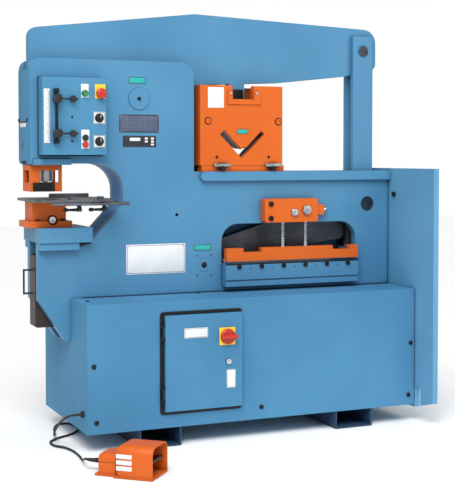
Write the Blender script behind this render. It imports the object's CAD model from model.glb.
import math

import bpy
from mathutils import Matrix, Vector


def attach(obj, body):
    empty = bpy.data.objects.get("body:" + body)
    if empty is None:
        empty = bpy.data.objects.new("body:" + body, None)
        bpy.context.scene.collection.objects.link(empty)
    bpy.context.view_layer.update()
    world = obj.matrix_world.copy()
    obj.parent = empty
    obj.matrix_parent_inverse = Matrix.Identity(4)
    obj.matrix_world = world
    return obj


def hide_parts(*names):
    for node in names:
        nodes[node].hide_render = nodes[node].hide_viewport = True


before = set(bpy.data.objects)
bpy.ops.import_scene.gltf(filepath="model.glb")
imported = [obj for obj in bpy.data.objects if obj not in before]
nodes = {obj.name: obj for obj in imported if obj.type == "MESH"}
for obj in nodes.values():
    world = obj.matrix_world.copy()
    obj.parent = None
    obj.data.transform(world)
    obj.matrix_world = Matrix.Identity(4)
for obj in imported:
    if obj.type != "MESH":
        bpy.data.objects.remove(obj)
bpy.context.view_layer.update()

# Camera: it stands to the left of the machine at chest height, about five metres away.
# The verticals stay nearly parallel, so half of the drop is shift and half is tilt.
camera_data = bpy.data.cameras.new("camera")
camera_data.sensor_width = 36.0
camera_data.lens = 85.18
camera_data.shift_y = -0.094
camera = bpy.data.objects.new("camera", camera_data)
camera.location = (-2.0734, -4.7572, 1.1718)
camera.rotation_euler = (math.radians(90.0 - 2.27), 0.0, math.radians(-23.41))
bpy.context.scene.collection.objects.link(camera)
bpy.context.scene.camera = camera
bpy.context.scene.view_settings.view_transform = "Standard"


# Studio: a pale seamless floor under one wide overhead light from the front left, with soft
# lamps at the right and at the head. Colours are sRGB hex values, turned to linear by one function.
def linear(hex_colour):
    parts = [int(hex_colour[i:i + 2], 16) / 255.0 for i in (1, 3, 5)]
    straight = [p / 12.92 if p <= 0.04045 else ((p + 0.055) / 1.055) ** 2.4 for p in parts]
    return (*straight, 1.0)


def add_node(tree, kind, settings=None, links=None):
    # Adds one shader node: settings are its properties or input values, links feed its inputs
    made = tree.nodes.new("ShaderNode" + kind)
    for key, value in (settings or {}).items():
        if isinstance(key, str) and hasattr(made, key):
            setattr(made, key, value)
        else:
            made.inputs[key].default_value = value
    for key, source in (links or {}).items():
        tree.links.new(source, made.inputs[key])
    return made


def new_material(name):
    made = bpy.data.materials.new(name)
    made.use_nodes = True
    made.node_tree.nodes.clear()
    return made, made.node_tree


def two_tones(tree, source, low, dark, high, light):
    # Turns a pattern into a colour between two sRGB tones
    ramp = add_node(tree, "ValToRGB", links={"Fac": source})
    for end, position, tone in zip(ramp.color_ramp.elements, (low, high), (dark, light)):
        end.position = position
        end.color = linear(tone)
    return ramp.outputs["Color"]


def close_material(tree, surface):
    add_node(tree, "OutputMaterial", links={"Surface": surface.outputs[0]})


floor_paper, tree = new_material("pale_floor_paper")
place = add_node(tree, "TexCoord")
mottle = add_node(tree, "TexNoise", {"Scale": 1.5, "Detail": 2.0}, {"Vector": place.outputs["Object"]})
tint = two_tones(tree, mottle.outputs["Fac"], 0.0, "#FBFBFB", 1.0, "#FEFEFE")
paper = add_node(tree, "BsdfPrincipled", {"Roughness": 0.8}, {"Base Color": tint})
close_material(tree, paper)

bpy.ops.object.select_all(action="DESELECT")
bpy.ops.mesh.primitive_plane_add(size=30.0, location=(0.0, 0.0, -0.0005))
floor = bpy.context.active_object
floor.name = "studio_floor"
floor.data.materials.append(floor_paper)


def soft_lamp(name, place_at, aim_at, width, watts):
    data = bpy.data.lights.new(name, "AREA")
    data.shape = "SQUARE"
    data.size = width
    data.energy = watts
    lamp = bpy.data.objects.new(name, data)
    lamp.location = place_at
    lamp.rotation_euler = (Vector(aim_at) - Vector(place_at)).to_track_quat("-Z", "Y").to_euler()
    bpy.context.scene.collection.objects.link(lamp)


soft_lamp("side_lamp", (2.6, -2.9, 3.0), (0.4, 0.0, 1.1), 2.0, 30.0)
soft_lamp("head_lamp", (-1.4, -2.8, 2.9), (-0.3, 0.0, 1.7), 1.4, 36.0)
sky_data = bpy.data.lights.new("overhead_light", "SUN")
sky_data.angle = math.radians(38.0)
sky_data.energy = 2.05
sky = bpy.data.objects.new("overhead_light", sky_data)
sky.rotation_euler = Vector((0.42, 0.62, -0.95)).to_track_quat("-Z", "Y").to_euler()
bpy.context.scene.collection.objects.link(sky)

world = bpy.data.worlds.new("studio_air")
bpy.context.scene.world = world
world.use_nodes = True
tree = world.node_tree
tree.nodes.clear()
rays = add_node(tree, "LightPath")
seen = add_node(tree, "Math", {"operation": "MAXIMUM"},
                {0: rays.outputs["Is Camera Ray"], 1: rays.outputs["Is Transmission Ray"]})
level = add_node(tree, "MapRange", {"To Min": 0.5, "To Max": 1.0}, {"Value": seen.outputs[0]})
air = add_node(tree, "Background", {"Color": (1.0, 1.0, 1.0, 1.0)}, {"Strength": level.outputs[0]})
add_node(tree, "OutputWorld", links={"Surface": air.outputs[0]})


# Press frame: two heavy steel side plates, flame cut and ground at the edges, with the head,
# the throat and the shear housing in one outline. Sprayed with blue machine enamel: a smooth
# coat with a faint orange peel that rounds every edge and thins to grey primer on the corners.
def enamel(name, main, deep, primer="#3A566C", shade="#1B3550", roughness=0.4, mirror=0.3):
    made, tree = new_material(name)
    place = add_node(tree, "TexCoord")
    cloud = add_node(tree, "TexNoise", {"Scale": 1000.0 / 450.0, "Detail": 3.0},
                     {"Vector": place.outputs["Object"]})
    depth = two_tones(tree, cloud.outputs["Fac"], 0.35, deep, 0.65, main)
    # The coat is rounded over 2 mm at each edge, and where it is thinnest some primer shows
    edge = add_node(tree, "Bevel", {"samples": 4, "Radius": 0.0022})
    surface = add_node(tree, "NewGeometry")
    turn = add_node(tree, "VectorMath", {"operation": "DOT_PRODUCT"},
                    {0: edge.outputs["Normal"], 1: surface.outputs["Normal"]})
    nicks = add_node(tree, "TexNoise", {"Scale": 1000.0 / 22.0, "Detail": 4.0},
                     {"Vector": place.outputs["Object"]})
    thin = add_node(tree, "MapRange", {"From Min": 0.97, "From Max": 0.75},
                    {"Value": turn.outputs["Value"]})
    chipped = add_node(tree, "MapRange", {"From Min": 0.54, "From Max": 0.66},
                       {"Value": nicks.outputs["Fac"]})
    bare = add_node(tree, "Math", {"operation": "MULTIPLY"}, {0: thin.outputs[0], 1: chipped.outputs[0]})
    worn = add_node(tree, "Mix", {"data_type": "RGBA"}, {0: bare.outputs[0], 6: depth})
    worn.inputs[7].default_value = linear(primer)
    # Dust and oil darken the coat in the corners where two pieces meet
    nook = add_node(tree, "AmbientOcclusion", {"samples": 6, "Distance": 0.035})
    grime = add_node(tree, "MapRange", {"From Min": 0.75, "From Max": 0.25, "To Max": 0.6},
                     {"Value": nook.outputs["AO"]})
    worn = add_node(tree, "Mix", {"data_type": "RGBA"}, {0: grime.outputs[0], 6: worn.outputs[2]})
    worn.inputs[7].default_value = linear(shade)
    # Orange peel is about 3 mm on the real coat and is drawn coarser, so that it shows
    peel = add_node(tree, "TexNoise", {"Scale": 1000.0 / 8.0, "Detail": 1.0},
                    {"Vector": place.outputs["Object"]})
    ripple = add_node(tree, "Bump", {"Strength": 0.05, "Distance": 0.001},
                      {"Height": peel.outputs["Fac"], "Normal": edge.outputs["Normal"]})
    gloss = add_node(tree, "MapRange", {"To Min": roughness - 0.05, "To Max": roughness + 0.08},
                     {"Value": cloud.outputs["Fac"]})
    coat = add_node(tree, "BsdfPrincipled", {"IOR": 1.45, "Specular IOR Level": mirror},
                    {"Base Color": worn.outputs[2], "Roughness": gloss.outputs[0],
                     "Normal": ripple.outputs["Normal"]})
    close_material(tree, coat)
    return made


def dress(node, material):
    owner = nodes[node]
    if not owner.material_slots:
        owner.data.materials.append(material)
    for place_on in owner.material_slots:
        place_on.material = material


blue_enamel = enamel("blue_machine_enamel", "#4F88AC", "#467DA2")
for part in ("front_side_plate", "rear_side_plate", "frame_internals", "housing_top", "pivot_pins",
             "ram_guide", "die_bolster", "shear_bed"):
    dress(part, blue_enamel)

# Base cabinet: folded 5 mm sheet, welded at the corners, with the thick end plate that closes
# its right side. The same blue with a duller surface, and a little paler on the end plate.
cabinet_enamel = enamel("blue_cabinet_enamel", "#4F88AC", "#467DA2", roughness=0.55, mirror=0.08)
for part in ("cabinet_panels", "panel_case", "cabinet_door"):
    dress(part, cabinet_enamel)
end_enamel = enamel("blue_end_plate_enamel", "#649CBE", "#5B93B6", roughness=0.55, mirror=0.08)
dress("end_plate", end_enamel)

# Feet: fork pockets of flat bars and a sole under the base, for a lift truck's forks. They are painted
# with the base and lie in its shadow, so their coat is a darker navy enamel.
navy_enamel = enamel("navy_foot_enamel", "#2E4A66", "#263F58", "#5A6670", "#10192A", roughness=0.45)
for part in ("foot_bars", "foot_soles"):
    dress(part, navy_enamel)

# Rocker beam and link post: thick plate, painted like the frame. They move in the gap between the
# side plates and above it.
for part in ("beam_assembly", "link_post"):
    dress(part, blue_enamel)


# Tooling: hardened tool steel, ground on the flat faces. Fine straight grinding lines run along
# each piece, and the faces mirror the room dimly.
def ground_steel(name, light, dark, roughness=0.32, along=(30.0, 900.0, 900.0)):
    made, tree = new_material(name)
    place = add_node(tree, "TexCoord")
    grind = add_node(tree, "Mapping", {"Scale": along}, {"Vector": place.outputs["Object"]})
    lines = add_node(tree, "TexNoise", {"Scale": 1.0, "Detail": 3.0}, {"Vector": grind.outputs[0]})
    cloud = add_node(tree, "TexNoise", {"Scale": 1000.0 / 90.0, "Detail": 3.0},
                     {"Vector": place.outputs["Object"]})
    blend = add_node(tree, "Math", {"operation": "MULTIPLY"},
                     {0: lines.outputs["Fac"], 1: cloud.outputs["Fac"]})
    tone = two_tones(tree, blend.outputs[0], 0.12, dark, 0.42, light)
    edge = add_node(tree, "Bevel", {"samples": 4, "Radius": 0.001})
    ripple = add_node(tree, "Bump", {"Strength": 0.08, "Distance": 0.0005},
                      {"Height": lines.outputs["Fac"], "Normal": edge.outputs["Normal"]})
    gloss = add_node(tree, "MapRange", {"To Min": roughness - 0.08, "To Max": roughness + 0.12},
                     {"Value": lines.outputs["Fac"]})
    steel = add_node(tree, "BsdfPrincipled", {"Metallic": 1.0},
                     {"Base Color": tone, "Roughness": gloss.outputs[0],
                      "Normal": ripple.outputs["Normal"]})
    close_material(tree, steel)
    return made


bright_steel = ground_steel("ground_tool_steel", "#C9CCD0", "#9A9EA4")
dark_steel = ground_steel("oiled_blade_steel", "#5C6067", "#3A3D42", roughness=0.4)
for part in ("punch_ram", "punch_tooling"):
    dress(part, bright_steel)
table_steel = ground_steel("oiled_table_steel", "#8A8E93", "#5E6267", roughness=0.38)
for part in ("table_assembly", "gauge_fence", "punch_die"):
    dress(part, table_steel)
for part in ("upper_blade", "lower_blade", "cylinder_barrel", "power_unit", "arm_assembly", "cylinder_rod"):
    dress(part, dark_steel)
black_steel = ground_steel("blackened_blade_steel", "#34373B", "#212326", roughness=0.5)
for part in ("angle_fixed_blade", "angle_carrier", "angle_moving_blade"):
    dress(part, black_steel)

# Work stations: hold-down, angle shear housing, stripper and die holder are steel blocks sprayed
# with orange safety enamel, so that the places where the tools close stand out.
orange_enamel = enamel("orange_safety_enamel", "#D2631F", "#C85A18", "#8A4A1A", "#5A2308", roughness=0.42)
for part in ("holddown_bracket", "holddown_bar", "angle_frame", "stripper", "die_holder"):
    dress(part, orange_enamel)


# Small fittings: rails and screws with a black oxide finish, moulded plastic in black, red and green,
# yellow plates and the brown slug box of sheet steel. All have a fine grain of two close tones.
def moulded(name, main, worn, roughness, grain_mm, metallic=0.0, bump=0.12):
    made, tree = new_material(name)
    place = add_node(tree, "TexCoord")
    grain = add_node(tree, "TexNoise", {"Scale": 1000.0 / grain_mm, "Detail": 2.0},
                     {"Vector": place.outputs["Object"]})
    tone = two_tones(tree, grain.outputs["Fac"], 0.4, main, 0.75, worn)
    edge = add_node(tree, "Bevel", {"samples": 4, "Radius": 0.0008})
    ripple = add_node(tree, "Bump", {"Strength": bump, "Distance": 0.0004},
                      {"Height": grain.outputs["Fac"], "Normal": edge.outputs["Normal"]})
    skin = add_node(tree, "BsdfPrincipled", {"Roughness": roughness, "Metallic": metallic},
                    {"Base Color": tone, "Normal": ripple.outputs["Normal"]})
    close_material(tree, skin)
    return made


black_oxide = moulded("black_oxide_steel", "#1B1C1F", "#2B2C30", 0.42, 6.0, metallic=0.6)
black_plastic = moulded("black_moulded_plastic", "#141416", "#232427", 0.48, 4.0)
red_plastic = moulded("red_moulded_plastic", "#B4281A", "#C23626", 0.35, 5.0, bump=0.06)
green_plastic = moulded("green_moulded_plastic", "#1E7A3C", "#2A8A4A", 0.35, 5.0, bump=0.06)
yellow_plate = moulded("yellow_enamelled_plate", "#F4C022", "#F7CB3C", 0.4, 9.0, bump=0.05)
brown_sheet = moulded("brown_slug_box_enamel", "#2A1E1C", "#362826", 0.5, 12.0)
for part in ("stripper_shoe", "stroke_rail", "pedal_treadle", "electrical_box"):
    dress(part, black_oxide)
dress("slug_drawer", brown_sheet)


# Control panel devices: 22 mm push buttons and selectors with turned bezels of chromed brass, set in
# round holes of the panel's face. The caps are moulded plastic and travel 4 mm.
def turned(name, steps, place, sides=40, flutes=1.0):
    # A turned piece: a disc that is extruded and resized step by step, each step (radius, height).
    # Flutes below one draw every second point of the outline inwards, as on a gripped knob.
    bpy.ops.object.select_all(action="DESELECT")
    radius, height = steps[0]
    bpy.ops.mesh.primitive_circle_add(vertices=sides, radius=radius, fill_type="NGON",
                                      location=(0.0, 0.0, 0.0))
    piece = bpy.context.active_object
    piece.name = name
    for i, point in enumerate(piece.data.vertices):
        grip = flutes if i % 2 else 1.0
        point.co = (point.co.x * grip, point.co.y * grip, height)
    bpy.ops.object.mode_set(mode="EDIT")
    for next_radius, next_height in steps[1:]:
        bpy.ops.mesh.extrude_region_move(TRANSFORM_OT_translate={"value": (0.0, 0.0, next_height - height)})
        ratio = next_radius / radius
        bpy.ops.transform.resize(value=(ratio, ratio, 1.0), center_override=(0.0, 0.0, next_height))
        radius, height = next_radius, next_height
    bpy.ops.mesh.select_all(action="SELECT")
    bpy.ops.mesh.normals_make_consistent(inside=False)
    bpy.ops.object.mode_set(mode="OBJECT")
    piece.data.transform(place)
    bpy.ops.object.shade_smooth_by_angle(angle=math.radians(32.0))
    return piece


def block(name, low, high, rounding, segments=3):
    # A box between two corners, its edges rounded
    bpy.ops.object.select_all(action="DESELECT")
    bpy.ops.mesh.primitive_cube_add(size=1.0)
    piece = bpy.context.active_object
    piece.name = name
    middle = (Vector(low) + Vector(high)) / 2
    size = Vector(high) - Vector(low)
    piece.data.transform(Matrix.Translation(middle) @ Matrix.Diagonal((*size, 1.0)))
    edge = piece.modifiers.new("rounding", "BEVEL")
    edge.width = rounding
    edge.segments = segments
    bpy.ops.object.modifier_apply(modifier=edge.name)
    bpy.ops.object.shade_smooth_by_angle(angle=math.radians(40.0))
    return piece


def facing(direction, x, y, z):
    # Turns a piece's own +Z to the way named and moves it to its place
    ways = {"front": Matrix.Rotation(math.radians(90.0), 4, "X"),
            "right": Matrix.Rotation(math.radians(90.0), 4, "Y"),
            "left": Matrix.Rotation(math.radians(-90.0), 4, "Y"), "up": Matrix.Identity(4),
            "down": Matrix.Rotation(math.radians(180.0), 4, "X")}
    return Matrix.Translation((x, y, z)) @ ways[direction]


def fit(piece, material, body, slot, *replaced):
    if material:
        piece.data.materials.clear()
        piece.data.materials.append(material)
    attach(piece, body)
    if replaced:
        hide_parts(*replaced)
    return piece


def joined(name, pieces):
    bpy.ops.object.select_all(action="DESELECT")
    for piece in pieces:
        piece.select_set(True)
    bpy.context.view_layer.objects.active = pieces[0]
    if len(pieces) > 1:
        bpy.ops.object.join()
    pieces[0].name = name
    return pieces[0]


chrome = ground_steel("chromed_brass", "#D9DBDE", "#B9BCC0", roughness=0.16, along=(60.0, 60.0, 60.0))
legend_y = -0.1512
stem_back = -0.027
start_at = (-0.704, 1.424)
estop_at = (-0.640, 1.424)
jog_up_at = (-0.703, 1.246)
jog_down_at = (-0.703, 1.218)
selector_at = ((-0.644, 1.326), (-0.644, 1.231))


def on_panel(at):
    return facing("front", at[0], legend_y, at[1])


def bezel(name, at, inner):
    profile = [(inner + 0.0016, 0.0), (inner + 0.0016, 0.0018), (inner + 0.0008, 0.0030), (inner, 0.0030),
               (inner, 0.0004)]
    ring = turned(name, profile, on_panel(at))
    return fit(ring, chrome, "frame", "steel")


def push_cap(name, at, radius, depth, dish):
    foot = 0.0055
    profile = [(0.0106, stem_back), (0.0106, foot), (radius * 0.96, foot), (radius, foot + 0.001),
               (radius, foot + depth * 0.72), (radius * 0.93, foot + depth * 0.93),
               (radius * 0.8, foot + depth), (radius * 0.5, foot + depth - dish),
               (radius * 0.05, foot + depth - 1.4 * dish)]
    return turned(name, profile, on_panel(at))


fit(push_cap("start_cap", start_at, 0.0126, 0.008, 0.0012), green_plastic, "start", "green", "start_button")
fit(push_cap("jog_up_cap", jog_up_at, 0.0119, 0.006, 0.0008), black_plastic, "jog_up", "black",
    "jog_up_button")
fit(push_cap("jog_down_cap", jog_down_at, 0.0119, 0.006, 0.0008), red_plastic, "jog_down", "red",
    "jog_down_button")
bezel("start_bezel", start_at, 0.0134)
bezel("jog_up_bezel", jog_up_at, 0.0122)
bezel("jog_down_bezel", jog_down_at, 0.0122)

# Stop button: a red mushroom of moulded plastic on a chromed collar, over a yellow plate. It is the
# largest of the panel's devices, 44 mm across.
profile = [(0.0106, stem_back), (0.0106, 0.0055), (0.0135, 0.0057), (0.0145, 0.0120), (0.0212, 0.0142),
           (0.0219, 0.0160), (0.0217, 0.0195), (0.0203, 0.0232), (0.0165, 0.0260), (0.0100, 0.0272),
           (0.0008, 0.0275)]
mushroom = turned("stop_mushroom", profile, on_panel(estop_at), sides=56)
fit(mushroom, red_plastic, "estop", "red", "estop_button")
bezel("stop_bezel", estop_at, 0.0152)

# Selectors: two black rotary knobs with a skirt and a raised finger bar. A white pointer line is let
# into the upper half of each bar.
white_fill = moulded("white_paint_fill", "#E8E8E4", "#F2F2EE", 0.5, 5.0, bump=0.03)
for name, body, node, at in (("selector_upper_knob", "selector_a", "selector_upper", selector_at[0]),
                             ("selector_lower_knob", "selector_b", "selector_lower", selector_at[1])):
    profile = [(0.0106, stem_back), (0.0106, 0.0010), (0.0135, 0.0012), (0.0135, 0.0040), (0.0120, 0.0082),
               (0.0100, 0.0090), (0.0008, 0.0090)]
    knob = turned(name + "_skirt", profile, on_panel(at))
    x, z = at
    bar = block(name + "_bar", (x - 0.0048, legend_y - 0.0205, z - 0.0128),
                (x + 0.0048, legend_y - 0.0080, z + 0.0128), 0.0022)
    fit(joined(name, [knob, bar]), black_plastic, body, "black", node)
    pointer = block(name + "_pointer", (x - 0.0009, legend_y - 0.0209, z + 0.0010),
                    (x + 0.0009, legend_y - 0.0200, z + 0.0115), 0.0003)
    fit(pointer, white_fill, body, "plates")

# Stroke stops: two clamp blocks on a black steel rail, each with a fluted clamp knob and a rod that
# ends in a small knob. They set where the beam's stroke begins and ends.
rail_x = -0.825
rail_y = -0.166
for name, body, node, z in (("upper_stop_clamp", "stop_upper", "stroke_stop_upper", 1.400),
                            ("lower_stop_clamp", "stop_lower", "stroke_stop_lower", 1.262)):
    clamp = block(name + "_block", (rail_x - 0.013, rail_y - 0.013, z - 0.011),
                  (rail_x + 0.013, rail_y + 0.012, z + 0.011), 0.002)
    profile = [(0.010, 0.012), (0.010, 0.016), (0.0185, 0.0175), (0.019, 0.019), (0.019, 0.029),
               (0.0175, 0.032), (0.010, 0.033), (0.0005, 0.033)]
    knob = turned(name + "_knob", profile, facing("front", rail_x, rail_y, z), sides=36, flutes=0.93)
    profile = [(0.0034, 0.010), (0.0034, 0.090), (0.0024, 0.0918)]
    rod = turned(name + "_rod", profile, facing("right", rail_x, rail_y, z), sides=20)
    profile = [(0.011, -0.004), (0.0138, -0.003), (0.014, 0.000), (0.014, 0.006), (0.0125, 0.009),
               (0.0005, 0.010)]
    grip = turned(name + "_grip", profile, facing("front", rail_x + 0.068, rail_y, z), sides=32,
                  flutes=0.95)
    fit(joined(name, [clamp, knob, rod, grip]), black_plastic, body, "black", node)


# Screws of the machine: black socket-head cap screws and dome heads, driven into tapped holes. Each head
# is turned, its socket is sunk with six flats, and it is set in its place.
def socket_screw(name, radius, head, place, sides=36):
    depth = head * 0.55
    key = radius * 0.52
    profile = [(radius * 0.97, 0.0), (radius, head * 0.08), (radius, head * 0.82), (radius * 0.9, head),
               (key * 1.12, head), (key, head - 0.0004), (key, head - depth)]
    piece = turned(name, profile, Matrix.Identity(4), sides)
    for point in piece.data.vertices:
        reach = math.hypot(point.co.x, point.co.y)
        if 0.0 < reach <= key * 1.01 and point.co.z > 0.0:
            swing = math.atan2(point.co.y, point.co.x) % math.radians(60.0) - math.radians(30.0)
            factor = key * 0.88 / math.cos(swing) / reach
            point.co.x *= factor
            point.co.y *= factor
    piece.data.transform(place)
    return piece


def dome_screw(name, radius, head, place):
    profile = [(radius, 0.0), (radius * 0.98, head * 0.3), (radius * 0.86, head * 0.62),
               (radius * 0.62, head * 0.88), (radius * 0.4, head * 0.97), (radius * 0.36, head * 0.6),
               (radius * 0.02, head * 0.55)]
    return turned(name, profile, place, sides=28)


plate_y = -0.088
bed_y = -0.130
cabinet_y = -0.3175
bracket_y = -0.135
heads = []
bed_x0, bed_x1 = -0.070, 0.570
for i in range(6):
    x = bed_x0 + 0.055 + i * (bed_x1 - bed_x0 - 0.110) / 5
    heads.append(socket_screw("bed_screw", 0.010, 0.007, facing("front", x, bed_y, 0.696)))
for z in (0.964, 0.902):
    heads.append(socket_screw("bracket_screw", 0.011, 0.008, facing("front", 0.133, bracket_y, z)))
for x in (-0.880, -0.774):
    for y in (-0.071, 0.071):
        heads.append(socket_screw("die_screw", 0.008, 0.008, facing("up", x, y, 0.908)))
for x, z in ((-0.722, 0.345), (-0.712, 0.122), (0.003, 0.126), (0.728, 0.350), (0.718, 0.120)):
    heads.append(dome_screw("cabinet_screw", 0.010, 0.006, facing("front", x, cabinet_y, z)))
heads.append(dome_screw("cabinet_top_screw", 0.008, 0.005, facing("up", -0.712, -0.201, 0.589)))
heads.append(dome_screw("cabinet_back_screw", 0.008, 0.005, facing("up", -0.200, -0.112, 0.589)))
arm_x, arm_z = -0.161, 0.708
profile = [(0.012, 0.0), (0.012, 0.004), (0.009, 0.006), (0.005, 0.0062), (0.004, 0.0068), (0.0005, 0.007)]
heads.append(turned("pivot_grease_cap", profile, facing("front", arm_x, plate_y, arm_z)))
profile = [(0.0079, -0.012), (0.0079, 0.005), (0.0055, 0.0065), (0.0045, 0.010), (0.0055, 0.0115),
           (0.0035, 0.0138), (0.0005, 0.0140)]
heads.append(turned("fulcrum_nipple", profile, facing("front", -0.453, plate_y, 1.410), sides=24))
profile = [(0.0055, 0.004), (0.0055, 0.031), (0.005, 0.0312)]
heads.append(turned("end_plate_stud", profile, facing("right", 0.745, -0.142, 1.000), sides=24))
heads.append(socket_screw("end_plate_screw", 0.011, 0.011, facing("left", 0.750, -0.142, 1.000)))
for z in (1.3284, 1.2320):
    heads.append(dome_screw("panel_screw", 0.0045, 0.003, facing("front", -0.757, -0.150, z)))
fit(joined("machine_screws", heads), black_oxide, "frame", "dark", "machine_bolts")

# Painted heads: the small screws between the bed's bolts and the four round the arm's pivot were sprayed
# over with the machine, so they are blue like it.
painted = []
for i in range(5):
    x = bed_x0 + 0.055 + (i + 0.5) * (bed_x1 - bed_x0 - 0.110) / 5
    painted.append(dome_screw("bed_pin", 0.0065, 0.003, facing("front", x, bed_y, 0.692)))
for sx in (-1, 1):
    for sz in (-1, 1):
        painted.append(dome_screw("pivot_screw", 0.006, 0.004,
                                  facing("front", arm_x + sx * 0.032, plate_y, arm_z + sz * 0.042)))
fit(joined("painted_screws", painted), blue_enamel, "frame", "blue")

# Bright screws: the hold-down bracket's adjusting screws and the die holder's clamp screw are left bare
# and have a bright plated finish.
bright = [socket_screw("adjusting_screw", 0.017, 0.010, facing("front", 0.247, bracket_y, 0.926)),
          socket_screw("adjusting_nut", 0.021, 0.014, facing("front", 0.305, bracket_y, 0.936)),
          socket_screw("bracket_end_screw", 0.013, 0.018, facing("right", 0.397, -0.109, 0.936)),
          socket_screw("die_clamp_screw", 0.015, 0.018, facing("front", -0.818, -0.050, 0.912))]
fit(joined("bright_screws", bright), chrome, "frame", "steel")

# Pin ends: the link's upper pin is a dark turned steel pin in the beam, and the hole over its lower pin is
# closed by a dark steel plug pressed into the side plate.
profile = [(0.0235, 0.0), (0.0235, 0.0016), (0.0215, 0.0030), (0.0080, 0.0030), (0.0072, 0.0008),
           (0.0004, 0.0006)]
pin_cap = turned("link_pin_cap", profile, facing("front", 0.638, -0.0486, 1.648), sides=48)
fit(pin_cap, dark_steel, "beam", "steel")
profile = [(0.0329, -0.009), (0.0329, -0.0016), (0.0318, -0.0008), (0.0250, -0.0008), (0.0245, -0.0016),
           (0.0004, -0.0016)]
plug = turned("pin_hole_plug", profile, facing("front", 0.638, plate_y, 0.957), sides=56)
fit(plug, dark_steel, "frame", "dark")


# Hold-down screws: two steel studs with a coarse thread, screwed into the bar and sliding up into the
# bracket. A dark greasy line winds round each bright core along its thread.
def thread(name, radius, pitch, low, high, place):
    bpy.ops.object.select_all(action="DESELECT")
    bpy.ops.mesh.primitive_circle_add(vertices=8, radius=pitch * 0.13, fill_type="NOTHING")
    ridge = bpy.context.active_object
    ridge.name = name
    ridge.data.transform(Matrix.Translation((radius, 0.0, low))
                         @ Matrix.Rotation(math.radians(90.0), 4, "X"))
    wind = ridge.modifiers.new("wind", "SCREW")
    wind.screw_offset = pitch
    wind.iterations = int((high - low) / pitch)
    wind.steps = 20
    wind.render_steps = 20
    bpy.ops.object.modifier_apply(modifier=wind.name)
    bpy.ops.object.mode_set(mode="EDIT")
    bpy.ops.mesh.select_all(action="SELECT")
    bpy.ops.mesh.fill_holes(sides=0)
    bpy.ops.mesh.normals_make_consistent(inside=False)
    bpy.ops.object.mode_set(mode="OBJECT")
    ridge.data.transform(place)
    return ridge


cores, threads = [], []
for x in (0.1985, 0.3095):
    stand = facing("up", x, -0.115, 0.0)
    cores.append(turned("stud_core", [(0.0094, 0.7755), (0.0094, 0.976), (0.0084, 0.979)], stand, sides=32))
    threads.append(thread("stud_thread", 0.0085, 0.0110, 0.779, 0.974, stand))
fit(joined("stud_cores", cores), chrome, "holddown", "steel", "holddown_screws")
fit(joined("stud_threads", threads), black_oxide, "holddown", "steel")

# Table clamp levers: two posts under the gauging table, each with a tapered arm that ends in a rounded
# knob. They turn to clamp the table.
for name, body, node, x in (("left_clamp_lever", "lever_left", "table_lever_left", -0.733),
                            ("right_clamp_lever", "lever_right", "table_lever_right", -0.628)):
    y = -0.162
    top = 0.9876
    profile = [(0.009, 0.953), (0.0108, 0.949), (0.0108, 0.963), (0.009, 0.965), (0.009, top - 0.001),
               (0.0082, top)]
    post = turned(name + "_post", profile, facing("up", x, y, 0.0), sides=28)
    profile = [(0.0072, 0.004), (0.0060, 0.020), (0.0048, 0.046), (0.0075, 0.050), (0.0080, 0.056),
               (0.0070, 0.062), (0.0040, 0.0655), (0.0004, 0.066)]
    arm = turned(name + "_arm", profile, facing("left", x, y, 0.956), sides=24)
    fit(joined(name, [post, arm]), black_plastic, body, "black", node)

# Disconnect: a red rotary handle with a long grip on the electrical box's door. Below it is a quarter-turn
# latch with a key bar in its head and a tongue behind the door.
door_y = -0.3365
disconnect_at = (-0.161, 0.436)
x, z = disconnect_at
profile = [(0.0094, -0.010), (0.0094, 0.0046), (0.0312, 0.0050), (0.0320, 0.0062), (0.0315, 0.0150),
           (0.0280, 0.0180), (0.0005, 0.0180)]
hub = turned("disconnect_hub", profile, facing("front", x, door_y, z), sides=48)
bar = block("disconnect_bar", (x - 0.034, door_y - 0.036, z - 0.009),
            (x + 0.037, door_y - 0.016, z + 0.009), 0.005)
fit(joined("disconnect_grip", [hub, bar]), red_plastic, "disconnect", "red", "disconnect_handle")
latch_at = (-0.155, 0.332)
x, z = latch_at
profile = [(0.0094, -0.010), (0.0094, 0.0006), (0.0130, 0.0006), (0.0130, 0.0045), (0.0112, 0.0078),
           (0.0070, 0.0080), (0.0066, 0.0056), (0.0005, 0.0054)]
stem = turned("latch_stem", profile, facing("front", x, door_y, z), sides=32)
key = block("latch_key", (x - 0.0016, door_y - 0.0078, z - 0.0060),
            (x + 0.0016, door_y - 0.0050, z + 0.0060), 0.0005)
tongue = block("latch_tongue", (x - 0.008, door_y + 0.009, z - 0.010),
               (x + 0.038, door_y + 0.012, z + 0.010), 0.0008)
fit(joined("quarter_turn_latch", [stem, key, tongue]), chrome, "latch", "steel", "door_latch")

# Printed plates: three thin metal plates on the front side plate, the two larger ones riveted at their
# corners. They carry plain rules and boxes, laid on as thin strips.
plate_white = moulded("white_printed_plate", "#D9DCDF", "#E4E6E8", 0.45, 60.0, bump=0.02)
plate_slate = moulded("slate_anodised_plate", "#4C566E", "#56607A", 0.42, 60.0, metallic=0.3, bump=0.02)
plate_lines = moulded("slate_plate_lines", "#6C7790", "#76819A", 0.42, 60.0, metallic=0.3, bump=0.02)
plate_black = moulded("black_printed_plate", "#1C1E22", "#26282C", 0.45, 60.0, bump=0.02)
plate_teal = moulded("teal_printed_tag", "#17A39B", "#2BB0A6", 0.42, 60.0, bump=0.02)
rivet_metal = ground_steel("rivet_aluminium", "#C2C5C9", "#A6AAAF", roughness=0.3,
                           along=(200.0, 200.0, 200.0))


def sheet(name, low, high, front_y, thick, rounding=0.0006):
    # A thin plate in front of a face: low and high are its corners in X and Z
    return block(name, (low[0], front_y, low[1]), (high[0], front_y + thick, high[1]),
                 min(rounding, thick * 0.4), 2)


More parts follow.
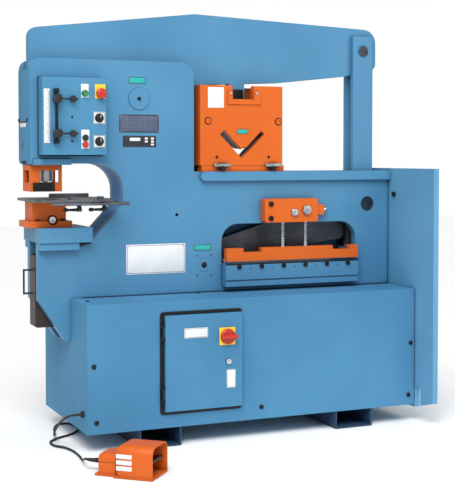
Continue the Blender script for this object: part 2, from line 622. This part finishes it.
def rules(name, low, high, front_y, columns, rows, line):
    # A border and a grid of raised lines over a plate
    strips = []
    for i in range(columns + 1):
        x = low[0] + (high[0] - low[0]) * i / columns
        strips.append(sheet("rule", (x - line / 2, low[1]), (x + line / 2, high[1]), front_y, 0.0003))
    for i in range(rows + 1):
        z = low[1] + (high[1] - low[1]) * i / rows
        strips.append(sheet("rule", (low[0], z - line / 2), (high[0], z + line / 2), front_y - 0.0001,
                            0.0003))
    return joined(name, strips)


def rivets(name, low, high, front_y, inset, radius=0.0024):
    heads = []
    profile = [(radius, 0.0), (radius * 0.95, radius * 0.3), (radius * 0.7, radius * 0.55),
               (radius * 0.05, radius * 0.7)]
    for x in (low[0] + inset, high[0] - inset):
        for z in (low[1] + inset, high[1] - inset):
            heads.append(turned("rivet", profile, facing("front", x, front_y, z), sides=20))
    return fit(joined(name, heads), rivet_metal, "frame", "plates")


plate_thick = 0.0015
plate_front = plate_y - plate_thick
line_lift = 0.0002
rule_front = plate_front - line_lift
table_low, table_high = (-0.539, 1.270), (-0.366, 1.344)
fit(sheet("table_plate", table_low, table_high, plate_front, plate_thick), plate_slate, "frame", "plates",
    "label_plates")
fit(rules("table_plate_rules", (-0.531, 1.279), (-0.374, 1.335), rule_front, 6, 5, 0.0010), plate_lines,
    "frame", "plates")
fit(rules("table_plate_border", (-0.5365, 1.2725), (-0.3685, 1.3415), rule_front, 1, 1, 0.0034),
    plate_black, "frame", "plates")
strip_low, strip_high = (-0.524, 1.210), (-0.378, 1.256)
fit(sheet("strip_plate", strip_low, strip_high, plate_front, plate_thick), plate_black, "frame", "plates")
boxes = [sheet("strip_title", (-0.494, 1.2345), (-0.448, 1.2480), plate_front - 0.0003, 0.0004)]
for x, rows in ((-0.4280, 2), (-0.4010, 3)):
    for i in range(rows):
        boxes.append(sheet("strip_box", (x, 1.2410 - i * 0.0125), (x + 0.0130, 1.2490 - i * 0.0125),
                           plate_front - 0.0003, 0.0004))
fit(joined("strip_plate_boxes", boxes), plate_white, "frame", "plates")
lower_low, lower_high = (-0.511, 0.678), (-0.248, 0.803)
fit(sheet("lower_plate", lower_low, lower_high, plate_front, plate_thick), plate_white, "frame", "plates")
fit(rules("lower_plate_border", (-0.506, 0.683), (-0.253, 0.798), rule_front, 1, 1, 0.0016), plate_black,
    "frame", "plates")
rivets("table_plate_rivets", table_low, table_high, plate_front, 0.0045)
rivets("lower_plate_rivets", lower_low, lower_high, plate_front, 0.0090)

# Small tags: three bare teal tags with a black edge, two on the side plate and one on the angle shear's
# housing, which has a bare white plate too.
angle_y = -0.100
tag_thick = 0.0007
tags, tag_edges = [], []
for name, low, high, front in (("head_tag", (-0.4975, 1.4725), (-0.4230, 1.4997), plate_y - tag_thick),
                               ("low_tag", (-0.2070, 0.7700), (-0.1290, 0.7940), plate_y - tag_thick),
                               ("angle_tag", (-0.0126, 1.2670), (0.0394, 1.2880), angle_y - tag_thick)):
    tags.append(sheet(name, low, high, front, tag_thick))
    edge_low = (low[0] + 0.0010, low[1] + 0.0010)
    edge_high = (high[0] - 0.0010, high[1] - 0.0010)
    tag_edges.append(rules(name + "_edge", edge_low, edge_high, front - line_lift, 1, 1, 0.0020))
fit(joined("teal_tags", tags), plate_teal, "frame", "plates")
fit(joined("teal_tag_edges", tag_edges), plate_black, "frame", "plates")
angle_plate = sheet("angle_plate", (-0.1476, 1.3780), (-0.0740, 1.4650), angle_y - tag_thick, tag_thick)
fit(angle_plate, plate_white, "frame", "plates")


# Panel plates: the printed scale beside the stroke rail and the legends behind the buttons, each drilled
# for its device. The selectors' legends have a black rule round the edge.
def cut_away(piece, cutter):
    # Takes the cutter's shape out of a piece
    shape = piece.modifiers.new("cut", "BOOLEAN")
    shape.operation = "DIFFERENCE"
    shape.object = cutter
    bpy.context.view_layer.objects.active = piece
    bpy.ops.object.modifier_apply(modifier=shape.name)
    bpy.data.objects.remove(cutter)


def drill(piece, centres, radius, y, depth):
    # Round holes from the front, each centre given in X and Z
    for x, z in centres:
        bpy.ops.mesh.primitive_cylinder_add(vertices=40, radius=radius, depth=depth, location=(x, y, z),
                                            rotation=(math.radians(90.0), 0.0, 0.0))
        cut_away(piece, bpy.context.active_object)
    return piece


device = 0.01125
legend_thick = 0.0012


def legend(name, low, high, centres):
    return drill(sheet(name, low, high, legend_y, legend_thick), centres, device, legend_y, 0.02)


scale_front = -0.151
fit(sheet("stroke_scale", (-0.873, 1.224), (-0.848, 1.440), scale_front, 0.001), plate_white, "frame",
    "plates")
ticks = []
for i in range(31):
    z = 1.232 + i * 0.2 / 30
    reach = 0.013 if i % 5 == 0 else 0.007
    ticks.append(sheet("tick", (-0.8495 - reach, z - 0.0006), (-0.8495, z + 0.0006),
                       scale_front - line_lift, 0.0003))
ticks.append(sheet("tick_line", (-0.8503, 1.230), (-0.8493, 1.434), scale_front - line_lift, 0.0003))
fit(joined("stroke_scale_ticks", ticks), plate_black, "frame", "plates")
white_legends = [legend("start_legend", (-0.720, 1.407), (-0.688, 1.462), [start_at]),
                 legend("jog_legend", (-0.720, 1.202), (-0.686, 1.278), [jog_up_at, jog_down_at])]
frames = []
for at in selector_at:
    x, z = at
    white_legends.append(legend("selector_legend", (x - 0.025, z - 0.025), (x + 0.025, z + 0.025), [at]))
    frames.append(rules("selector_rule", (x - 0.023, z - 0.023), (x + 0.023, z + 0.023),
                        legend_y - line_lift, 1, 1, 0.0018))
    profile = [(0.0190, 0.0), (0.0190, 0.0006), (0.0180, 0.0009), (0.0140, 0.0009), (0.0140, 0.0001)]
    frames.append(turned("selector_collar", profile, on_panel(at)))
fit(joined("panel_legends", white_legends), plate_white, "frame", "plates")
fit(joined("selector_frames", frames), plate_black, "frame", "black")
stop_legend = legend("stop_legend", (-0.662, 1.404), (-0.618, 1.462), [estop_at])
fit(stop_legend, yellow_plate, "frame", "yellow")

# Door fittings: the disconnect's yellow plate and two bare printed plates on the door, and black sleeves on
# the two hinge barrels.
yellow = sheet("disconnect_plate", (-0.196, 0.400), (-0.126, 0.472), door_y - 0.004, 0.004, 0.0012)
drill(yellow, [disconnect_at], 0.010, door_y, 0.03)
fit(yellow, yellow_plate, "door", "yellow", "door_fronts")
door_plate = 0.0012
door_plates = [sheet("door_label", (-0.349, 0.437), (-0.246, 0.477), door_y - door_plate, door_plate),
               sheet("door_lower_label", (-0.163, 0.222), (-0.123, 0.298), door_y - door_plate, door_plate)]
fit(joined("door_labels", door_plates), plate_white, "door", "plates")
rule_y = door_y - door_plate - line_lift
door_rules = [rules("door_label_rule", (-0.346, 0.440), (-0.249, 0.474), rule_y, 1, 1, 0.0012),
              rules("door_lower_rule", (-0.161, 0.224), (-0.125, 0.296), rule_y, 1, 1, 0.0012)]
fit(joined("door_label_rules", door_rules), plate_black, "door", "plates")
profile = [(0.0046, 0.0), (0.0053, 0.0006), (0.0053, 0.0390), (0.0046, 0.0396)]
sleeves = [turned("hinge_sleeve", profile, facing("up", -0.437, -0.3285, low), sides=28)
           for low in (0.1922, 0.4442)]
fit(joined("hinge_sleeves", sleeves), black_oxide, "door", "dark")
profile = [(0.004, 0.0), (0.0038, 0.0012), (0.0026, 0.0022), (0.0002, 0.0026)]
flange_screws = [turned("flange_screw", profile, facing("front", x, -0.3205, z), sides=20)
                 for x in (-0.437, -0.095) for z in (0.1375, 0.5385)]
fit(joined("flange_screws", flange_screws), black_oxide, "frame", "dark")

# Angle shear fittings: two large bolts through the housing, painted over with it and standing on dark
# washers, small black screws low down, bright screws on the guard and two toggle clamps on the base bar.
washers, bolts = [], []
for x in (-0.147, 0.184):
    profile = [(0.0165, 0.0), (0.0165, 0.0012), (0.0158, 0.0018), (0.0130, 0.0018), (0.0129, 0.0004)]
    washers.append(turned("housing_washer", profile, facing("front", x, angle_y, 1.322), sides=40))
    bolts.append(socket_screw("housing_bolt", 0.0125, 0.005, facing("front", x, angle_y, 1.322)))
fit(joined("housing_bolts", bolts), orange_enamel, "frame", "orange")
low_screws = [socket_screw("low_screw", 0.006, 0.002, facing("front", x, angle_y, 1.168))
              for x in (-0.107, 0.138)]
clamp_blocks, clamp_bars = [], []
for x in (-0.125, 0.116):
    clamp_blocks.append(block("clamp_block", (x + 0.022, angle_y - 0.016, 1.1125),
                              (x + 0.054, angle_y, 1.1430), 0.003))
    clamp_bars.append(block("clamp_bar", (x, angle_y - 0.0190, 1.1270),
                            (x + 0.078, angle_y - 0.0005, 1.1400), 0.0025))
    profile = [(0.007, 0.0), (0.009, 0.0015), (0.009, 0.0065), (0.0075, 0.008), (0.0003, 0.008)]
    clamp_blocks.append(turned("clamp_knob", profile, facing("front", x + 0.038, angle_y - 0.016, 1.1195),
                               sides=24, flutes=0.93))
fit(joined("clamp_blocks", clamp_blocks + low_screws + washers), black_oxide, "frame", "dark")
fit(joined("clamp_bars", clamp_bars), bright_steel, "frame", "steel")
guard_screws = [socket_screw("guard_screw", 0.006, 0.004, facing("front", x, angle_y - 0.005, 1.442))
                for x in (-0.045, 0.079)]
fit(joined("guard_screws", guard_screws), chrome, "frame", "steel")

# Bed edge: a black wear strip along the top of the shear bed's front, under the hold-down, and a black side
# stop at the left end of the gap.
strip = block("bed_wear_strip", (-0.0775, -0.1308, 0.7045), (0.5695, -0.1295, 0.7118), 0.0004, 2)
side_stop = block("bed_side_stop", (-0.0797, -0.0870, 0.7122), (-0.0680, -0.0530, 0.7330), 0.0015)
fit(joined("bed_wear_strip", [strip, side_stop]), black_oxide, "frame", "dark")

# Joint lines: dark sealant in the joint between the shear housing and the end plate, along the foot of the
# side plate on the cabinet's top, and down the cabinet's right edge.
seams = [block("end_joint", (0.7462, -0.0889, 0.5920), (0.7498, -0.0876, 1.0740), 0.0004, 2),
         block("foot_joint", (-0.7000, -0.0902, 0.5888), (0.7480, -0.0876, 0.5948), 0.0008, 2),
         block("cabinet_joint", (0.7472, -0.3184, 0.0800), (0.7498, -0.3170, 0.5880), 0.0004, 2)]
fit(joined("joint_sealant", seams), navy_enamel, "frame", "dark")

# Bolster lock: a small black lever on the side plate, below the right end of the die bolster. Its arm
# points to the right.
profile = [(0.0066, 0.0), (0.0060, 0.010), (0.0046, 0.022), (0.0040, 0.030), (0.0030, 0.0325),
           (0.0004, 0.0330)]
lock = [block("lock_foot", (-0.7135, -0.1010, 0.8060), (-0.6930, -0.0878, 0.8230), 0.0025),
        turned("lock_arm", profile, facing("right", -0.6960, -0.0950, 0.8170), sides=24)]
fit(joined("bolster_lock", lock), black_oxide, "frame", "dark")

# Measuring tape: a printed yellow rule let into the gauging table in front of the fence, with black ticks
# every 10 mm and longer ones every 50 mm.
tape = block("tape", (-0.8700, 0.0300, 0.9975), (-0.6000, 0.0460, 0.9984), 0.0003, 2)
fit(tape, moulded("yellow_tape", "#B9A64A", "#C6B45A", 0.5, 40.0, bump=0.02), "frame", "steel")
marks = []
for step in range(-860, -605, 10):
    x = step / 1000.0
    front = 0.0385 if step % 50 else 0.0320
    marks.append(block("tape_mark", (x - 0.0006, front, 0.9983), (x + 0.0006, 0.0455, 0.9986), 0.0001, 1))
fit(joined("tape_marks", marks), plate_black, "frame", "black")


# Slug drawer's pull: a black wire, 8.6 mm thick, bent to a square loop in front of the drawer's left end.
# Its corners are cut off a little, as a bent wire's are.
def wire(name, points, radius, resolution=4):
    # A round wire along a line of points
    curve = bpy.data.curves.new(name, "CURVE")
    curve.dimensions = "3D"
    curve.bevel_depth = radius
    curve.bevel_resolution = resolution
    curve.use_fill_caps = True
    run = curve.splines.new("POLY")
    run.points.add(len(points) - 1)
    for point, at in zip(run.points, points):
        point.co = (*at, 1.0)
    piece = bpy.data.objects.new(name, curve)
    bpy.context.scene.collection.objects.link(piece)
    return piece


corners = [(-0.8862, 0.6100), (-0.9195, 0.6100), (-0.9217, 0.6122), (-0.9217, 0.7038), (-0.9195, 0.7060),
           (-0.8862, 0.7060)]
pull = wire("slug_pull_wire", [(x, 0.0, z) for x, z in corners], 0.0043)
fit(pull, black_plastic, "slug", "black")

# Cord glands: a ribbed strain relief of black plastic at the rear of the foot switch and a round gland low
# on the cabinet's left side.
pedal_at = Matrix.Translation((-0.682, -0.650, 0.0)) @ Matrix.Rotation(math.radians(-42.0), 4, "Z")
ribs = [(0.0079, -0.016), (0.0079, -0.0002), (0.0098, 0.0), (0.0099, 0.003)]
for i in range(5):
    along = i * 0.0044
    ribs += [(0.0097, 0.0042 + along), (0.0082, 0.0046 + along), (0.0080, 0.0064 + along),
             (0.0093 - i * 0.0004, 0.0068 + along)]
ribs += [(0.0074, 0.0268), (0.0052, 0.0279)]
relief = turned("strain_relief", ribs, pedal_at @ facing("left", -0.115, 0.0, 0.040), sides=32)
profile = [(0.0098, -0.005), (0.0098, 0.0), (0.0128, 0.0002), (0.0130, 0.001), (0.0130, 0.0065),
           (0.0112, 0.0072), (0.0112, 0.0120), (0.0085, 0.0152), (0.0052, 0.0159)]
gland = turned("cabinet_gland", profile, facing("left", -0.750, -0.267, 0.150), sides=36)
fit(joined("cord_gland_pair", [relief, gland]), black_plastic, "frame", "black", "cord_glands")


# Foot switch hood: a casting open to the front, its roof and shoulders rounded, over a ribbed treadle. It is
# cut from a rounded block: first the hollow, then the floor and the open front.
def smoothed(piece, degrees):
    # Faces that meet at less than this angle are shaded as one
    bpy.ops.object.select_all(action="DESELECT")
    piece.select_set(True)
    bpy.context.view_layer.objects.active = piece
    bpy.ops.object.shade_smooth_by_angle(angle=math.radians(degrees))


hood = block("pedal_hood_cover", (-0.040, -0.075, -0.060), (0.190, 0.075, 0.120), 0.033, 8)
cut_away(hood, block("hood_hollow", (-0.035, -0.070, -0.070), (0.200, 0.070, 0.115), 0.028, 8))
cut_away(hood, block("hood_floor", (-0.100, -0.100, -0.100), (0.300, 0.100, 0.0081), 0.001))
cut_away(hood, block("hood_front", (0.1149, -0.100, -0.100), (0.300, 0.100, 0.200), 0.001))
lip = hood.modifiers.new("lip", "BEVEL")
lip.width = 0.0014
lip.segments = 2
lip.limit_method = "ANGLE"
lip.angle_limit = math.radians(50.0)
bpy.context.view_layer.objects.active = hood
bpy.ops.object.modifier_apply(modifier=lip.name)
hood.data.transform(pedal_at)
smoothed(hood, 35.0)
fit(hood, orange_enamel, "frame", "orange", "pedal_hood")

# Foot switch body: the sole, the rounded switch housing behind the hood with a dark joint line round it, and
# inside the hood the treadle's cross pin between two ears.
pedal_base = [block("hood_sole", (-0.0405, -0.075, 0.0), (0.115, 0.075, 0.008), 0.0015),
              block("rear_sole", (-0.121, -0.061, 0.0), (-0.0395, 0.061, 0.008), 0.0025)]
for grown, low, high in ((0.0, 0.0079, 0.082), (0.0002, 0.0500, 0.0516)):
    housing = block("switch_housing", (-0.115 - grown, -0.055 - grown, -0.060),
                    (0.060, 0.055 + grown, 0.082 + grown), 0.021, 8)
    cut_away(housing, block("housing_below", (-0.200, -0.100, -0.100), (0.100, 0.100, low), 0.001))
    cut_away(housing, block("housing_front", (-0.0398, -0.100, -0.100), (0.200, 0.100, 0.200), 0.001))
    if grown:
        cut_away(housing, block("housing_above", (-0.200, -0.100, high), (0.100, 0.100, 0.200), 0.001))
        housing.name = "pedal_joint_line"
        housing.data.transform(pedal_at)
        fit(housing, black_plastic, "frame", "black")
    else:
        pedal_base.append(housing)
for side in (-0.065, 0.059):
    pedal_base.append(block("treadle_ear", (-0.0271, side, 0.0075), (-0.0091, side + 0.006, 0.0519),
                            0.0012))
profile = [(0.0034, 0.0), (0.0040, 0.0006), (0.0040, 0.1354), (0.0034, 0.136)]
pedal_base.append(turned("treadle_pin", profile, facing("front", -0.01807, 0.068, 0.04294), sides=24))
pedal_base = joined("foot_switch_body", pedal_base)
pedal_base.data.transform(pedal_at)
smoothed(pedal_base, 35.0)
fit(pedal_base, orange_enamel, "frame", "orange", "pedal_body")

# Foot switch plates: three bare white plates, one above the other on the side of the hood that faces
# the camera.
side_plates = []
for low in (0.030, 0.052, 0.074):
    plate = block("pedal_side_plate", (-0.028, -0.0756, low), (0.034, -0.0749, low + 0.016), 0.0002, 2)
    plate.data.transform(pedal_at)
    side_plates.append(plate)
fit(joined("pedal_side_plates", side_plates), plate_white, "frame", "plates")

# Head's end cover: a thin blue sheet over the gap at the head's left end, with two black screws, the
# black bar between them, a bare white tag under the bar and a dark slot lower down.
cover_x = -0.9184
end_cover = block("head_end_cover", (cover_x, -0.0865, 1.152), (-0.9161, 0.0865, 1.522), 0.0009)
fit(end_cover, cabinet_enamel, "frame", "blue")
cover_fittings = [block("cover_bar", (-0.9212, -0.0620, 1.3085), (-0.9185, 0.0690, 1.3125), 0.0010),
                  block("cover_slot", (-0.9189, 0.0110, 1.2030), (-0.9182, 0.0250, 1.2270), 0.0002)]
profile = [(0.0062, -0.0010), (0.0062, 0.0035), (0.0050, 0.0048), (0.0022, 0.0049)]
for y in (-0.0665, 0.0735):
    cover_fittings.append(turned("cover_screw", profile, facing("left", cover_x, y, 1.319), sides=24))
fit(joined("cover_fittings", cover_fittings), black_plastic, "frame", "black")
cover_tag = block("cover_tag", (-0.9190, -0.0400, 1.2905), (-0.9183, 0.0580, 1.3070), 0.0002, 2)
fit(cover_tag, plate_white, "frame", "plates")

# Panel box's seal: a dark strip round the control panel's box, where it sits on the head's face. It
# stands out 4 mm at the sides.
seal = block("panel_seal", (-0.8840, -0.0905, 1.1710), (-0.6085, -0.0878, 1.4915), 0.0008)
cut_away(seal, block("seal_opening", (-0.8795, -0.2000, 1.1765), (-0.6125, 0.1000, 1.4875), 0.0010))
fit(seal, navy_enamel, "frame", "blue")

# Throat liner: a 3 mm blue sheet bent round the throat between the side plates, flush with their edges. It
# follows the throat's top, its round corner, its right side and the slope down to the jaw.
jaw_top = 0.8370
corner_x, corner_z = -0.634, 1.031
bend = 0.1116
liner_line = [(-0.742, corner_z + bend)]
for step in range(13):
    turn = math.radians(90.0 - 7.5 * step)
    liner_line.append((corner_x + bend * math.cos(turn), corner_z + bend * math.sin(turn)))
liner_line += [(corner_x + bend, jaw_top + 0.1352), (-0.6478, jaw_top - 0.0011)]
liner_curve = bpy.data.curves.new("throat_liner", "CURVE")
liner_curve.dimensions = "2D"
liner_curve.fill_mode = "NONE"
liner_curve.extrude = 0.0497
run = liner_curve.splines.new("POLY")
run.points.add(len(liner_line) - 1)
for point, (x, z) in zip(run.points, liner_line):
    point.co = (x, z, 0.0, 1.0)
liner = bpy.data.objects.new("throat_liner", liner_curve)
bpy.context.scene.collection.objects.link(liner)
bpy.ops.object.select_all(action="DESELECT")
liner.select_set(True)
bpy.context.view_layer.objects.active = liner
bpy.ops.object.convert(target="MESH")
liner = bpy.context.active_object
liner.data.transform(Matrix.Rotation(math.radians(90.0), 4, "X"))
gauge = liner.modifiers.new("gauge", "SOLIDIFY")
gauge.thickness = 0.003
gauge.offset = 0.0
bpy.ops.object.modifier_apply(modifier=gauge.name)
smoothed(liner, 30.0)
liner_enamel = enamel("blue_liner_enamel", "#4A8BC6", "#407EB8", roughness=0.5, mirror=0.12)
fit(liner, liner_enamel, "frame", "blue")

# Foot switch cord: a round control cable of black rubber, 9 mm thick. It leaves the gland low on
# the cabinet's left side, lies in one loose loop on the floor and goes into the pedal.
cord_thickness = 0.009
cord_points = [
    (-0.762, -0.267, 0.150), (-0.790, -0.266, 0.150), (-0.816, -0.248, 0.139), (-0.830, -0.200, 0.108),
    (-0.828, -0.125, 0.062), (-0.808, -0.035, 0.024), (-0.780, 0.060, 0.008), (-0.758, 0.150, 0.005),
    (-0.722, 0.222, 0.005), (-0.676, 0.222, 0.005), (-0.660, 0.150, 0.005), (-0.680, 0.072, 0.005),
    (-0.730, 0.016, 0.005), (-0.790, -0.022, 0.005), (-0.834, -0.074, 0.005), (-0.836, -0.140, 0.006),
    (-0.806, -0.196, 0.007), (-0.790, -0.260, 0.005), (-0.790, -0.340, 0.005), (-0.798, -0.410, 0.008),
    (-0.810, -0.470, 0.024), (-0.816, -0.512, 0.037), (-0.806, -0.541, 0.040), (-0.7853, -0.557, 0.040)]
rubber = moulded("black_cable_rubber", "#161617", "#222224", 0.6, 3.0)


def smooth_line(points, steps=8):
    # A smooth curve through all the points, with eight steps between each two
    line = []
    last = len(points) - 1
    for i in range(last):
        a, b, c, d = (Vector(points[max(0, min(last, i + k))]) for k in (-1, 0, 1, 2))
        for k in range(steps):
            t = k / steps
            bend = (2 * a - 5 * b + 4 * c - d) * t * t
            twist = (3 * b - 3 * c + d - a) * t ** 3
            line.append(0.5 * (2 * b + (c - a) * t + bend + twist))
    return line + [Vector(points[-1])]


line = smooth_line(cord_points)
cable = wire("pedal_cable", line, cord_thickness / 2)
cable.data.materials.append(rubber)
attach(cable, "frame")
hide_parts("pedal_cord")

# Cord boot: a tapered rubber sleeve over the cord's last 40 mm before the foot switch, stepped in rings
# that get smaller towards its end.
# The radius at each point is in millimetres, since the wire's own is 1 mm.
boot = wire("cord_boot", line[:-14:-1], 0.001, 6)
for i, point in enumerate(boot.data.splines[0].points):
    point.radius = 9.4 - 0.3 * i - (0.9 if i % 2 else 0.0)
fit(boot, rubber, "frame", "rubber")
